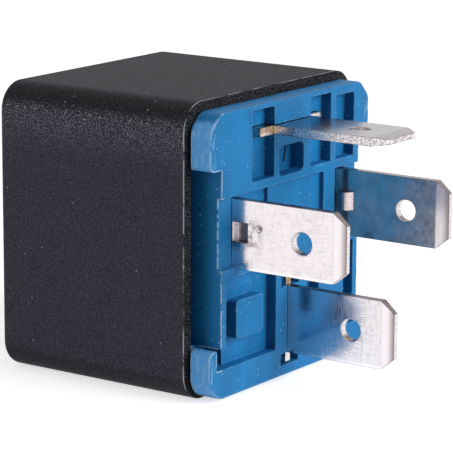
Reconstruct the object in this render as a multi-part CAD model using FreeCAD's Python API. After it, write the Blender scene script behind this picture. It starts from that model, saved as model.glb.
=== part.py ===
import FreeCAD, Part
import math
import os

# Four-blade automotive relay, lying on one side. Sizes are in millimetres.
# X runs along the relay towards the blades, Y across it, Z up.
# The origin is the middle of the cover's underside, where the relay rests.

V = FreeCAD.Vector

# Cover
cover_length = 20.9
cover_width = 26.7
cover_height = 26.85
cover_wall = 1.0
cover_end_wall = 1.1
cover_corner_radius = 2.6
cover_end_radius = 0.6
cover_inner_end_radius = 0.4

# Base: outside
base_proud = 2.44
base_depth = 3.9
base_fit = 0.05
base_seat_gap = 0.35
flange_width = 25.7
flange_bottom_margin = 0.3
flange_top_margin = 0.8
flange_top_bevel = 1.5
flange_bevel_round = 1.2
flange_bottom_radius = 2.2
flange_edge_round = 0.15
side_recess_inset = 1.7
side_recess_depth = 1.8
side_recess_low = 4.85
side_recess_drop = 5.05
block_corner_radius = 0.6

# Base: upper part of the face, from the flange's top down
upper_block_height = 7.65
slot_depth = 1.1
slot_top_drop = 0.43
slot_bottom_drop = 6.85
near_slot_start = 3.0
near_slot_width = 3.5
mid_slot_start = 2.9
mid_slot_width = 3.4
far_slot_start = 7.15
far_slot_width = 3.1
far_slot_top_drop = 0.85
window_width = 4.0
window_centre = -0.2
window_top_drop = 4.25
window_height = 2.75
window_depth = 1.5
window_corner_radius = 0.55
slit_width = 0.3
slit_height = 1.5
slit_depth = 1.2
slit_from_side = 3.1
slit_from_top = 1.25
slit_tilt = 13.0

# Base: middle part of the face
middle_height = 6.4
middle_rib_height = 0.9
near_floor_depth = 0.4
left_floor_depth = 0.9
centre_floor_depth = 0.49
right_floor_depth = 0.66
near_floor_width = 2.6
centre_floor_left = -3.3
centre_floor_right = 5.2
right_rib_width = 1.85

# Base: lower part of the face
lower_pocket_low = 3.0
lower_pocket_depth = 1.1
lower_pocket_wall = 0.75
centre_rib_half = 2.5
boss_width = 4.25
boss_height = 3.55
boss_low = 5.3
boss_rib_gap = 2.05
boss_corner_radius = 0.4
finger_width = 1.1
finger_gap = 2.2
finger_gap_depth = 3.0
lug_pocket_width = 2.9
lug_pocket_height = 1.1
lug_pocket_depth = 1.2

# Base: inside
pad_width = 1.4
pad_height = 4.0

# Blades, the same on all four terminals
blade_width = 6.3
blade_thickness = 0.8
blade_reach = 11.54
blade_tip_thickness = 0.5
blade_corner_along = 1.33
blade_corner_across = 1.06
blade_hole_radius = 1.0
blade_hole_rim = 0.07
blade_hole_from_tip = 4.5
blade_fit = 0.05

# Terminals
coil_blade_y = 8.67
coil_blade_drop = 3.37
common_blade_y = -0.2
common_blade_z = 5.53
common_setback = 0.2
load_blade_drop = 2.57
coil_shoulder_height = 7.9
coil_shoulder_front = -2.0
lance_along = 1.65
lance_high = 1.75
lance_lift = 0.2
lance_from_face = -0.3
lance_press = 0.65
lance_slope = 0.35
lance_round = 0.3
lance_hump_round = 0.7
dimple_radius = 0.33
dimple_depth = 0.16
dimple_from_face = 2.54
dimple_lift = 0.74
tag_height = 2.4
tag_length = 6.0
load_near_shoulder = 5.2
load_near_shoulder_set = 0.05
load_far_shoulder = 5.6
load_far_shoulder_set = 0.65
load_strip_width = 5.0
load_tab_bottom_drop = 1.7
common_shoulder_margin = 0.95
common_shoulder_set = 0.2
common_tab_width = 8.4
common_tab_low = 5.6
common_tab_high = 9.0
bend_radius = 0.3

# Magnet: core, yoke, bobbin and winding
yoke_thickness = 1.5
yoke_width = 11.0
yoke_back_z = 3.6
yoke_foot_rise = 5.1
yoke_bend_radius = 1.15
bobbin_half = 6.45
pole_from_end = 3.95
pole_margin = 1.6
pole_tab_clearance = 0.4
pole_thickness = 0.8
core_radius = 2.6
spigot_radius = 1.9
rivet_head_radius = 2.4
rivet_head_height = 0.3
part_fit = 0.05
bobbin_wall = 0.5
bobbin_flange_thickness = 0.8
bobbin_flange_corner = 1.2
winding_margin = 0.6
winding_crown = 0.1
tape_thickness = 0.1
tape_margin = 0.6
lead_radius = 0.18
lead_bend = 0.5

# Armature, contact blade and contacts, given in the closed position
residual_gap = 0.05
armature_open_angle = 2.6
armature_thickness = 1.3
armature_width = 10.0
armature_headroom = 2.9
armature_neck_width = 8.1
armature_neck_top = 5.5
armature_tail_width = 3.4
armature_tail_margin = 0.5
ear_reach = 1.5
ear_gap = 0.15
contact_blade_thickness = 0.3
contact_blade_low = 6.0
contact_blade_width = 6.4
contact_blade_tip_width = 3.4
contact_blade_taper_drop = 2.0
contact_blade_taper_rise = 3.4
contact_blade_reach = 2.3
blade_rivet_margin = 2.6
blade_rivet_pitch = 2.6
blade_rivet_radius = 0.6
blade_rivet_head_radius = 1.15
blade_rivet_head_height = 0.4
contact_drop = 2.2
contact_radius = 1.5
contact_height = 0.45
contact_shank_radius = 0.7
contact_back_radius = 1.0
contact_back_height = 0.22
closed_contact_gap = 0.05

# Open stop
stop_thickness = 0.6
stop_strip_width = 2.0
stop_strip_y = 6.2
stop_seat_depth = 1.5
stop_arm_reach = 1.3
stop_overlap = 0.85
stop_gap = 0.05

# Return spring
spring_wire_radius = 0.16
spring_coil_radius = 0.85
spring_pitch = 0.36
spring_turns = 9
spring_axis_drop = 1.2
spring_bend = 0.4
spring_hook_bend = 0.25
spring_leg = 0.9
spring_hole_radius = 0.3
spring_start_from_tail = 1.9
lug_from_spring = 0.9
lug_thickness = 1.0
lug_margin = 0.3
lug_width = 3.0

# Braid
braid_radius = 0.7
braid_z = 7.6
braid_y = 7.4
braid_bend = 2.0
braid_end_y = 1.2
braid_gap = 0.1

# Places that follow from the sizes above
rim_x = cover_length / 2
closed_end_x = -cover_length / 2
inner_end_x = closed_end_x + cover_end_wall
face_x = rim_x + base_proud
back_x = rim_x - base_depth
tip_x = face_x + blade_reach
hole_x = tip_x - blade_hole_from_tip
recess_half = flange_width / 2 - side_recess_inset
flange_top = cover_height - flange_top_margin
upper_block_low = flange_top - upper_block_height
slot_range = (flange_top - slot_bottom_drop, flange_top - slot_top_drop)
far_slot_range = (flange_top - slot_bottom_drop, flange_top - far_slot_top_drop)
window_high = flange_top - window_top_drop
window_low = window_high - window_height
middle_low = upper_block_low - middle_height
lower_pocket_high = middle_low - middle_rib_height
coil_blade_z = upper_block_low - coil_blade_drop
load_blade_z = flange_top - load_blade_drop
contact_z = load_blade_z - contact_drop
load_tab_low = contact_z - load_tab_bottom_drop
yoke_limb_top = yoke_back_z + yoke_thickness
coil_z = yoke_limb_top + bobbin_half
yoke_foot_top = coil_z + yoke_foot_rise
pole_radius = bobbin_half - pole_margin
winding_radius = bobbin_half - winding_margin
armature_top = load_tab_low - armature_headroom
spring_axis_z = yoke_back_z - spring_axis_drop
armature_tail_low = spring_axis_z - spring_bend - armature_tail_margin
blade_rivet_low = contact_blade_low + blade_rivet_margin
blade_rivet_z = (blade_rivet_low, blade_rivet_low + blade_rivet_pitch)
contact_blade_top = contact_z + contact_blade_reach
stop_arm_low = contact_blade_top - stop_overlap
pole_x = inner_end_x + pole_from_end
tab_back_x = back_x - blade_thickness
foot_front_x = tab_back_x
foot_back_x = foot_front_x - yoke_thickness
hinge_x = pole_x - residual_gap
hinge_z = yoke_back_z
armature_outer_x = hinge_x - armature_thickness
contact_blade_x = armature_outer_x - contact_blade_thickness
moving_face_x = armature_outer_x + contact_height
fixed_face_x = moving_face_x + closed_contact_gap
load_tab_x = fixed_face_x + contact_height
load_tab_front_x = load_tab_x + blade_thickness
winding_back_x = pole_x + pole_thickness + bobbin_flange_thickness
winding_front_x = foot_back_x - bobbin_flange_thickness
open_slope = math.tan(math.radians(armature_open_angle))


# Shape helpers

def corner_edges(before, corner, after, radius):
    """Return the arc of a rounded corner with its two tangent points."""
    to_before = (before - corner).normalize()
    to_after = (after - corner).normalize()
    half_angle = to_before.getAngle(to_after) / 2
    reach = radius / math.tan(half_angle)
    start = corner + to_before * reach
    end = corner + to_after * reach
    inward = (to_before + to_after).normalize()
    middle = corner + inward * (radius / math.sin(half_angle) - radius)
    return start, Part.Arc(start, middle, end).toShape(), end


def outline(points, radii):
    """Return a closed flat wire through the points, each corner rounded by its radius."""
    count = len(points)
    starts = []
    arcs = []
    ends = []
    for index, corner in enumerate(points):
        if radii[index] > 0:
            before = points[index - 1]
            after = points[(index + 1) % count]
            start, arc, end = corner_edges(before, corner, after, radii[index])
        else:
            start, arc, end = corner, None, corner
        starts.append(start)
        arcs.append(arc)
        ends.append(end)
    edges = []
    for index in range(count):
        if arcs[index] is not None:
            edges.append(arcs[index])
        following = starts[(index + 1) % count]
        if ends[index].distanceToPoint(following) > 1e-6:
            edges.append(Part.LineSegment(ends[index], following).toShape())
    return Part.Wire(edges)


def prism(points, radii, direction):
    """Extrude a rounded outline."""
    return Part.Face(outline(points, radii)).extrude(direction)


def slab(x_range, y_range, z_range, radius=0.0):
    """Return a block whose four edges along X have the given radius."""
    corners = [
        V(x_range[0], y_range[0], z_range[0]),
        V(x_range[0], y_range[1], z_range[0]),
        V(x_range[0], y_range[1], z_range[1]),
        V(x_range[0], y_range[0], z_range[1]),
    ]
    return prism(corners, [radius] * 4, V(x_range[1] - x_range[0], 0, 0))


def rod(x_range, y, z, radius):
    """Return a round bar along X."""
    return Part.makeCylinder(radius, x_range[1] - x_range[0], V(x_range[0], y, z), V(1, 0, 0))


def turned(profile, y, z):
    """Revolve (x, radius) points about the line along X through (y, z)."""
    points = [V(x, y, z + radius) for x, radius in profile]
    face = Part.Face(Part.makePolygon(points + [points[0]]))
    return face.revolve(V(0, y, z), V(1, 0, 0), 360)


def mirrored(shape):
    """Return the shape mirrored to the other side of the relay."""
    return shape.mirror(V(0, 0, 0), V(0, 1, 0))


def both_sides(shape):
    """Return the shape together with its mirror image."""
    return [shape, mirrored(shape)]


def opened(shape):
    """Turn a shape from the closed to the open position of the armature."""
    turned_shape = shape.copy()
    turned_shape.rotate(V(hinge_x, 0, hinge_z), V(0, 1, 0), -armature_open_angle)
    return turned_shape


def open_shift(z):
    """Return how far a point of the armature at height z moves towards the closed end."""
    return (z - hinge_z) * open_slope


def tube(path_edges, start, direction, radius):
    """Sweep a round wire along joined lines and arcs."""
    circle = Part.makeCircle(radius, start, direction)
    section = Part.Face(Part.Wire([circle]))
    return Part.Wire(path_edges).makePipe(section)


def line(start, end):
    """Return a straight edge."""
    return Part.LineSegment(start, end).toShape()


def quarter(start, end, centre):
    """Return the quarter arc from start to end about the centre."""
    radius = start.distanceToPoint(centre)
    middle = centre + ((start - centre) + (end - centre)).normalize() * radius
    return Part.Arc(start, middle, end).toShape()


# Cover

def make_cover():
    """A deep open can with rounded long edges."""
    half = cover_width / 2
    outer = slab((closed_end_x, rim_x), (-half, half), (0, cover_height), cover_corner_radius)
    end_edges = [edge for edge in outer.Edges if edge.BoundBox.XMax < closed_end_x + 0.01]
    outer = outer.makeFillet(cover_end_radius, end_edges)
    inner_half = half - cover_wall
    inner_z = (cover_wall, cover_height - cover_wall)
    inner_radius = cover_corner_radius - cover_wall
    inner = slab((inner_end_x, rim_x + cover_wall), (-inner_half, inner_half), inner_z, inner_radius)
    end_edges = [edge for edge in inner.Edges if edge.BoundBox.XMax < inner_end_x + 0.01]
    inner = inner.makeFillet(cover_inner_end_radius, end_edges)
    return outer.cut(inner)


# Base

def base_plug():
    """The part of the base that fits in the cover, up to its flange."""
    half = cover_width / 2 - cover_wall - base_fit
    z_range = (cover_wall + base_fit, cover_height - cover_wall - base_fit)
    radius = cover_corner_radius - cover_wall - base_fit
    return slab((back_x, rim_x + base_seat_gap), (-half, half), z_range, radius)


def base_flange():
    """The proud part of the base, with its front edge slightly rounded."""
    half = flange_width / 2
    x = rim_x + base_seat_gap
    bevel = flange_top_bevel
    corners = [
        V(x, -half, flange_bottom_margin),
        V(x, half, flange_bottom_margin),
        V(x, half, flange_top - bevel),
        V(x, half - bevel, flange_top),
        V(x, bevel - half, flange_top),
        V(x, -half, flange_top - bevel),
    ]
    radii = [flange_bottom_radius] * 2 + [flange_bevel_round] * 4
    flange = prism(corners, radii, V(face_x - x, 0, 0))
    front_edges = [edge for edge in flange.Edges if edge.BoundBox.XMin > face_x - 0.01]
    return flange.makeFillet(flange_edge_round, front_edges)


def face_pocket(depth, y_range, z_range, radius=0.0):
    """Return the tool that cuts a pocket of the given depth into the base's face."""
    return slab((face_x - depth, face_x + base_proud), y_range, z_range, radius)


def side_recesses():
    """Channels between the base's sides and the cover, leaving the rounded corner blocks."""
    x = rim_x - side_recess_depth
    half = flange_width / 2
    beyond = half + block_corner_radius
    low = side_recess_low
    high = flange_top - side_recess_drop
    clear = 2 * block_corner_radius
    points = [
        V(x, recess_half, low),
        V(x, half, low),
        V(x, half, low - clear),
        V(x, beyond, low - clear),
        V(x, beyond, high + clear),
        V(x, half, high + clear),
        V(x, half, high),
        V(x, recess_half, high),
    ]
    radius = block_corner_radius
    radii = [0, radius, 0, 0, 0, 0, radius, 0]
    return both_sides(prism(points, radii, V(face_x + base_proud - x, 0, 0)))


def upper_pockets():
    """The slots and the window in the upper part of the face."""
    near = (-near_slot_start - near_slot_width, -near_slot_start)
    middle = (mid_slot_start, mid_slot_start + mid_slot_width)
    far = (far_slot_start, far_slot_start + far_slot_width)
    left = window_centre - window_width / 2
    window = (left, left + window_width)
    z_range = (window_low, window_high)
    slit_y = left + slit_from_side
    slit_z = window_high - slit_from_top
    slit = face_pocket(
        window_depth + slit_depth,
        (slit_y - slit_width / 2, slit_y + slit_width / 2),
        (slit_z - slit_height / 2, slit_z + slit_height / 2),
    )
    slit.rotate(V(face_x, slit_y, slit_z), V(1, 0, 0), -slit_tilt)
    return [
        face_pocket(slot_depth, near, slot_range),
        face_pocket(slot_depth, middle, slot_range),
        face_pocket(slot_depth, far, far_slot_range),
        face_pocket(window_depth, window, z_range, window_corner_radius),
        slit,
    ]


def middle_floors():
    """The stepped floors between the two coil blades."""
    blade_y = coil_blade_y
    right_floor_left = centre_floor_right + right_rib_width
    side_y = recess_half + near_floor_width
    floors = [
        (near_floor_depth, (-side_y, -blade_y), middle_low),
        (left_floor_depth, (-blade_y, centre_floor_left), middle_low),
        (centre_floor_depth, (centre_floor_left, centre_floor_right), lower_pocket_high),
        (right_floor_depth, (right_floor_left, blade_y), middle_low),
        (near_floor_depth, (blade_y, side_y), middle_low),
    ]
    return [face_pocket(depth, y_range, (low, upper_block_low)) for depth, y_range, low in floors]


def lower_pockets():
    """The two lower pockets, each round a square boss, with the gap beside the corner finger."""
    z_range = (lower_pocket_low, lower_pocket_high)
    y_range = (centre_rib_half, recess_half - lower_pocket_wall)
    pocket = face_pocket(lower_pocket_depth, y_range, z_range)
    boss_y = (centre_rib_half + boss_rib_gap, centre_rib_half + boss_rib_gap + boss_width)
    boss_z = (boss_low, boss_low + boss_height)
    boss = face_pocket(lower_pocket_depth, boss_y, boss_z, boss_corner_radius)
    finger_inner = flange_width / 2 - finger_width
    gap_y = (finger_inner - finger_gap, finger_inner)
    gap = face_pocket(finger_gap_depth, gap_y, (lower_pocket_low, side_recess_low))
    return both_sides(pocket.cut(boss)) + both_sides(gap)


def terminal_slots():
    """The slots that the four terminals are pressed into, from the inside of the base."""
    fit = blade_fit
    half_t = blade_thickness / 2 + fit
    half_w = blade_width / 2 + fit
    through = (back_x - fit, face_x + base_proud)
    tools = []
    for side in (-1, 1):
        y_range = (side * coil_blade_y - half_t, side * coil_blade_y + half_t)
        tools.append(slab(through, y_range, (coil_blade_z - half_w, coil_blade_z + half_w)))
        half_s = coil_shoulder_height / 2 + fit
        x_range = (back_x - fit, rim_x + coil_shoulder_front + fit)
        tools.append(slab(x_range, y_range, (coil_blade_z - half_s, coil_blade_z + half_s)))
    z_range = (load_blade_z - half_t, load_blade_z + half_t)
    tools.append(slab(through, (-half_w, half_w), z_range))
    for front, y_range in load_shoulders():
        shoulder_y = (y_range[0] - fit, y_range[1] + fit)
        tools.append(slab((back_x - fit, front + fit), shoulder_y, z_range))
    y_range = (common_blade_y - half_t, common_blade_y + half_t)
    tools.append(slab(through, y_range, (common_blade_z - half_w, common_blade_z + half_w)))
    half_s = half_w + common_shoulder_margin
    x_range = (back_x - fit, common_shoulder_front() + fit)
    tools.append(slab(x_range, y_range, (common_blade_z - half_s, common_blade_z + half_s)))
    y_range = (stop_strip_y - fit, stop_strip_y + stop_strip_width + fit)
    stop_top = load_blade_z + blade_thickness / 2
    z_range = (stop_top - stop_thickness - fit, stop_top + fit)
    tools.append(slab((back_x - fit, back_x + stop_seat_depth + fit), y_range, z_range))
    return tools


def lug_pockets():
    """The small square pockets above and below the common blade."""
    half_w = blade_width / 2
    half_p = lug_pocket_width / 2
    y_range = (common_blade_y - half_p, common_blade_y + half_p)
    upper = (common_blade_z + half_w, common_blade_z + half_w + lug_pocket_height)
    lower = (common_blade_z - half_w - lug_pocket_height, common_blade_z - half_w)
    return [face_pocket(lug_pocket_depth, y_range, z_range) for z_range in (upper, lower)]


def base_pads():
    """Two pads on the inside of the base, against the yoke's foot."""
    half = yoke_width / 2
    z_range = (yoke_foot_top - pad_height, yoke_foot_top)
    return both_sides(slab((foot_front_x, back_x + base_fit), (half - pad_width, half), z_range))


def make_base():
    """The moulded base: plug and flange, with all that is moulded into its face."""
    base = base_plug().fuse(base_flange())
    tools = side_recesses() + upper_pockets() + middle_floors() + lower_pockets()
    tools += terminal_slots() + lug_pockets()
    base = base.cut(tools)
    return base.fuse(base_pads()).removeSplitter()


# Terminals

def load_shoulders():
    """Return where the two shoulders of the load terminal end, and their ranges along Y."""
    return [
        (face_x - load_near_shoulder_set, (-load_near_shoulder, 0)),
        (face_x - load_far_shoulder_set, (0, load_far_shoulder)),
    ]


def common_shoulder_front():
    """Return where the shoulders of the common terminal end, in the lug pockets."""
    return face_x - common_shoulder_set


def blade(start_x):
    """A flat blade in the XZ plane with its tip cornered and bevelled, and its detent hole."""
    half_w = blade_width / 2
    half_t = blade_thickness / 2
    shoulder_x = tip_x - blade_corner_along
    corner_w = half_w - blade_corner_across
    points = [
        V(start_x, -half_t, -half_w),
        V(shoulder_x, -half_t, -half_w),
        V(tip_x, -half_t, -corner_w),
        V(tip_x, -half_t, corner_w),
        V(shoulder_x, -half_t, half_w),
        V(start_x, -half_t, half_w),
    ]
    body = prism(points, [0] * len(points), V(0, blade_thickness, 0))
    half_tip = blade_tip_thickness / 2
    bevel_points = [
        V(shoulder_x, half_t, -blade_width),
        V(tip_x, half_tip, -blade_width),
        V(tip_x + half_t, half_tip, -blade_width),
        V(tip_x + half_t, half_t + half_t, -blade_width),
        V(shoulder_x, half_t + half_t, -blade_width),
    ]
    bevel = prism(bevel_points, [0] * len(bevel_points), V(0, 0, 2 * blade_width))
    hole_base = V(hole_x, -blade_thickness, 0)
    hole = Part.makeCylinder(blade_hole_radius, 2 * blade_thickness, hole_base, V(0, 1, 0))
    rim_small = blade_hole_radius
    rim_large = blade_hole_radius + blade_hole_rim
    rim_start = V(hole_x, half_t - blade_hole_rim, 0)
    rim = Part.makeCone(rim_small, rim_large, blade_hole_rim, rim_start, V(0, 1, 0))
    return body.cut([bevel, mirrored(bevel), hole, rim, mirrored(rim)])


def strip_block(x_range, half_w, thickness=blade_thickness):
    """A flat stretch of terminal metal in the XZ plane."""
    return slab(x_range, (-thickness / 2, thickness / 2), (-half_w, half_w))


def lance_press_shape(y, radius):
    """The rounded hump that the retaining lance is pressed to, standing on the plane at y."""
    low = lance_lift - lance_high / 2
    start = face_x + lance_from_face
    end = start + lance_along
    points = [
        V(start, y, low),
        V(start + lance_slope, y + lance_press, low),
        V(end - lance_slope, y + lance_press, low),
        V(end, y, low),
    ]
    return prism(points, [0, radius, radius, 0], V(0, 0, lance_high))


def dimple_tool():
    """The ball that leaves the round dimple in the outer side of a coil blade."""
    ball_radius = (dimple_radius ** 2 + dimple_depth ** 2) / (2 * dimple_depth)
    ball_y = -blade_thickness / 2 - ball_radius + dimple_depth
    ball = Part.makeSphere(ball_radius)
    ball.translate(V(face_x + dimple_from_face, ball_y, dimple_lift))
    return ball


def make_coil_terminal(side):
    """A coil terminal: blade with a lance pressed inwards, shoulders and an inner tag."""
    half_t = blade_thickness / 2
    front = rim_x + coil_shoulder_front
    shape = blade(front).fuse([
        strip_block((back_x, front), coil_shoulder_height / 2),
        strip_block((back_x - tag_length, back_x), tag_height / 2),
        lance_press_shape(half_t, lance_hump_round),
    ])
    pocket = lance_press_shape(-half_t, lance_round)
    shape = shape.cut([pocket, dimple_tool()]).removeSplitter()
    shape.translate(V(0, -coil_blade_y, coil_blade_z))
    if side > 0:
        shape = mirrored(shape)
    return shape


def bent_strip(points, radii, y_range):
    """Extrude a bent strip, drawn in the XZ plane, across its width."""
    placed = [V(x, y_range[0], z) for x, z in points]
    return prism(placed, radii, V(0, y_range[1] - y_range[0], 0))


def make_load_terminal():
    """The load terminal: blade, shoulders and an inner strip bent down behind its contact."""
    flat = blade(back_x)
    flat.rotate(V(0, 0, 0), V(1, 0, 0), 90)
    flat.translate(V(0, 0, load_blade_z))
    half_t = blade_thickness / 2
    top = load_blade_z + half_t
    under = load_blade_z - half_t
    for front, y_range in load_shoulders():
        flat = flat.fuse(slab((back_x, front), y_range, (under, top)))
    low = load_tab_low
    points = [
        (back_x, top),
        (load_tab_x, top),
        (load_tab_x, low),
        (load_tab_front_x, low),
        (load_tab_front_x, under),
        (back_x, under),
    ]
    outer_radius = bend_radius + blade_thickness
    half_w = load_strip_width / 2
    strip = bent_strip(points, [0, outer_radius, 0, 0, bend_radius, 0], (-half_w, half_w))
    hole = rod((load_tab_x - 1, load_tab_front_x + 1), 0, contact_z, contact_shank_radius)
    return flat.fuse(strip).cut(hole).removeSplitter()


def make_common_terminal():
    """The common terminal: blade, shoulders and an inner tab bent flat against the yoke's foot."""
    shape = blade(back_x + common_setback)
    shape.translate(V(-common_setback, 0, 0))
    half_s = blade_width / 2 + common_shoulder_margin
    shape = shape.fuse(strip_block((back_x, common_shoulder_front()), half_s))
    shape.translate(V(0, common_blade_y, common_blade_z))
    left = common_blade_y - blade_thickness / 2
    right = common_blade_y + blade_thickness / 2
    low = common_tab_low
    points = [
        V(back_x, left, low),
        V(tab_back_x, left, low),
        V(tab_back_x, left + common_tab_width, low),
        V(back_x, left + common_tab_width, low),
        V(back_x, right, low),
    ]
    radii = [0, bend_radius, 0, 0, 0]
    tab = prism(points, radii, V(0, 0, common_tab_high - common_tab_low))
    return shape.fuse(tab).removeSplitter()


# Magnet

def make_core():
    """The core: pole shoe clear of the load tab, shank, and a spigot riveted over at the foot."""
    profile = [
        (pole_x, 0),
        (pole_x, pole_radius),
        (pole_x + pole_thickness, pole_radius),
        (pole_x + pole_thickness, core_radius),
        (foot_back_x, core_radius),
        (foot_back_x, spigot_radius),
        (foot_front_x, spigot_radius),
        (foot_front_x, rivet_head_radius),
        (foot_front_x + rivet_head_height, spigot_radius),
        (foot_front_x + rivet_head_height, 0),
    ]
    tab_half = load_strip_width / 2
    above_tab = (load_tab_low - pole_tab_clearance, cover_height)
    tab_space = slab((pole_x, pole_x + pole_thickness), (-tab_half, tab_half), above_tab)
    return turned(profile, 0, coil_z).cut(tab_space)


def make_yoke():
    """The L-shaped yoke, with ears beside the armature and a lug for the spring."""
    half = yoke_width / 2
    limb_top = yoke_limb_top
    points = [
        (pole_x, yoke_back_z),
        (foot_front_x, yoke_back_z),
        (foot_front_x, yoke_foot_top),
        (foot_back_x, yoke_foot_top),
        (foot_back_x, limb_top),
        (pole_x, limb_top),
    ]
    radii = [0, yoke_bend_radius, 0, 0, 0, 0]
    yoke = bent_strip(points, radii, (-half, half))
    ear_y = (armature_neck_width / 2 + ear_gap, half)
    ear_x = (pole_x - ear_reach, pole_x + part_fit)
    ears = both_sides(slab(ear_x, ear_y, (yoke_back_z, limb_top)))
    lug_x = spring_lug_x()
    half_lug = lug_width / 2
    lug_z = (spring_axis_z - lug_margin, yoke_back_z + part_fit)
    lug = slab((lug_x, lug_x + lug_thickness), (-half_lug, half_lug), lug_z)
    yoke = yoke.fuse(ears + [lug])
    spigot_hole = rod((foot_back_x - 1, foot_front_x + 1), 0, coil_z, spigot_radius)
    lug_hole = rod(
        (lug_x - 1, lug_x + lug_thickness + 1),
        -spring_coil_radius,
        spring_axis_z + spring_bend,
        spring_hole_radius,
    )
    return yoke.cut([spigot_hole, lug_hole]).removeSplitter()


def make_bobbin():
    """The bobbin: a tube with a square flange at each end."""
    half = bobbin_half - part_fit
    back = pole_x + pole_thickness
    corner = bobbin_flange_corner
    y_range = (-half, half)
    z_range = (coil_z - half, coil_z + half)
    tube_radius = core_radius + part_fit + bobbin_wall
    pieces = [
        slab((winding_front_x, foot_back_x), y_range, z_range, corner),
        rod((back, foot_back_x), 0, coil_z, tube_radius),
    ]
    bobbin = slab((back, winding_back_x), y_range, z_range, corner).fuse(pieces)
    bore = rod((back - 1, foot_back_x + 1), 0, coil_z, core_radius + part_fit)
    return bobbin.cut(bore).removeSplitter()


def make_winding():
    """The winding, slightly crowned between the flanges."""
    inner = core_radius + part_fit + bobbin_wall
    middle = (winding_back_x + winding_front_x) / 2
    low = [V(winding_back_x, 0, inner), V(winding_front_x, 0, inner)]
    crown = Part.Arc(
        V(winding_front_x, 0, winding_radius),
        V(middle, 0, winding_radius + winding_crown),
        V(winding_back_x, 0, winding_radius),
    ).toShape()
    edges = [
        line(low[0], low[1]),
        line(low[1], V(winding_front_x, 0, winding_radius)),
        crown,
        line(V(winding_back_x, 0, winding_radius), low[0]),
    ]
    winding = Part.Face(Part.Wire(edges)).revolve(V(0, 0, 0), V(1, 0, 0), 360)
    winding.translate(V(0, 0, coil_z))
    return winding


def make_tape():
    """The tape round the middle of the winding."""
    inner = winding_radius + winding_crown
    x_range = (winding_back_x + tape_margin, winding_front_x - tape_margin)
    outer = rod(x_range, 0, coil_z, inner + tape_thickness)
    bore = rod((x_range[0] - 1, x_range[1] + 1), 0, coil_z, inner)
    return outer.cut(bore)


def make_lead(side):
    """A coil end, from under the tape along the flange to the tag of its terminal."""
    x = winding_front_x - lead_radius - part_fit
    tag_y = coil_blade_y - blade_thickness / 2 - lead_radius
    start = V(x, side * (winding_radius + winding_crown), coil_z + lead_radius)
    corner = V(x, side * tag_y, start.z)
    before = V(x, side * (tag_y - lead_bend), corner.z)
    turn = math.copysign(lead_bend, coil_blade_z - corner.z)
    after = V(x, side * tag_y, corner.z + turn)
    centre = V(x, before.y, after.z)
    end = V(x, corner.y, coil_blade_z)
    edges = [line(start, before), quarter(before, after, centre), line(after, end)]
    return tube(edges, start, V(0, side, 0), lead_radius)


# Armature and contacts

def across(points, x_range):
    """Extrude a symmetric plate along X. Points are (half width, z), from the bottom up."""
    right = [V(x_range[0], half, z) for half, z in points]
    left = [V(x_range[0], -half, z) for half, z in reversed(points)]
    corners = right + left
    return prism(corners, [0] * len(corners), V(x_range[1] - x_range[0], 0, 0))


def make_armature():
    """The armature: a plate with a neck between the yoke's ears and a tail for the spring."""
    neck_low = hinge_z - ear_gap
    points = [
        (armature_tail_width / 2, armature_tail_low),
        (armature_tail_width / 2, neck_low),
        (armature_neck_width / 2, neck_low),
        (armature_neck_width / 2, armature_neck_top),
        (armature_width / 2, armature_neck_top),
        (armature_width / 2, armature_top - armature_thickness),
        (armature_width / 2 - armature_thickness, armature_top),
    ]
    plate = across(points, (armature_outer_x, hinge_x))
    through = (armature_outer_x - 1, hinge_x + 1)
    holes = [rod(through, 0, z, blade_rivet_radius) for z in blade_rivet_z]
    spring_z = spring_axis_z - spring_bend
    holes.append(rod(through, -spring_coil_radius, spring_z, spring_hole_radius))
    return opened(plate.cut(holes))


def make_contact_blade():
    """The springy contact blade that the armature carries."""
    points = [
        (contact_blade_width / 2, contact_blade_low),
        (contact_blade_width / 2, armature_top - contact_blade_taper_drop),
        (contact_blade_tip_width / 2, contact_z - contact_blade_taper_rise),
        (contact_blade_tip_width / 2, contact_blade_top),
    ]
    plate = across(points, (contact_blade_x, armature_outer_x))
    through = (contact_blade_x - 1, armature_outer_x + 1)
    holes = [rod(through, 0, z, blade_rivet_radius) for z in blade_rivet_z]
    holes.append(rod(through, 0, contact_z, contact_shank_radius))
    return opened(plate.cut(holes))


def make_blade_rivets():
    """The two rivets that hold the contact blade on the armature."""
    head_x = contact_blade_x - blade_rivet_head_height
    profile = [
        (head_x, 0),
        (head_x, blade_rivet_head_radius - blade_rivet_head_height / 2),
        (contact_blade_x - blade_rivet_head_height / 2, blade_rivet_head_radius),
        (contact_blade_x, blade_rivet_head_radius),
        (contact_blade_x, blade_rivet_radius),
        (hinge_x, blade_rivet_radius),
        (hinge_x, 0),
    ]
    return Part.makeCompound([opened(turned(profile, 0, z)) for z in blade_rivet_z])


def contact_profile(face_x_value, seat_x, back_seat_x, back_x_value):
    """Return the outline of a contact button riveted through a strip."""
    return [
        (face_x_value, 0),
        (face_x_value, contact_radius - contact_height / 2),
        ((face_x_value + seat_x) / 2, contact_radius),
        (seat_x, contact_radius),
        (seat_x, contact_shank_radius),
        (back_seat_x, contact_shank_radius),
        (back_seat_x, contact_back_radius),
        (back_x_value, contact_back_radius),
        (back_x_value, 0),
    ]


def make_moving_contact():
    """The contact button on the end of the contact blade."""
    back = contact_blade_x - contact_back_height
    profile = contact_profile(moving_face_x, armature_outer_x, contact_blade_x, back)
    return opened(turned(profile, 0, contact_z))


def make_fixed_contact():
    """The contact button on the bent end of the load terminal."""
    back = load_tab_front_x + contact_back_height
    profile = contact_profile(fixed_face_x, load_tab_x, load_tab_front_x, back)
    return turned(profile, 0, contact_z)


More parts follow.
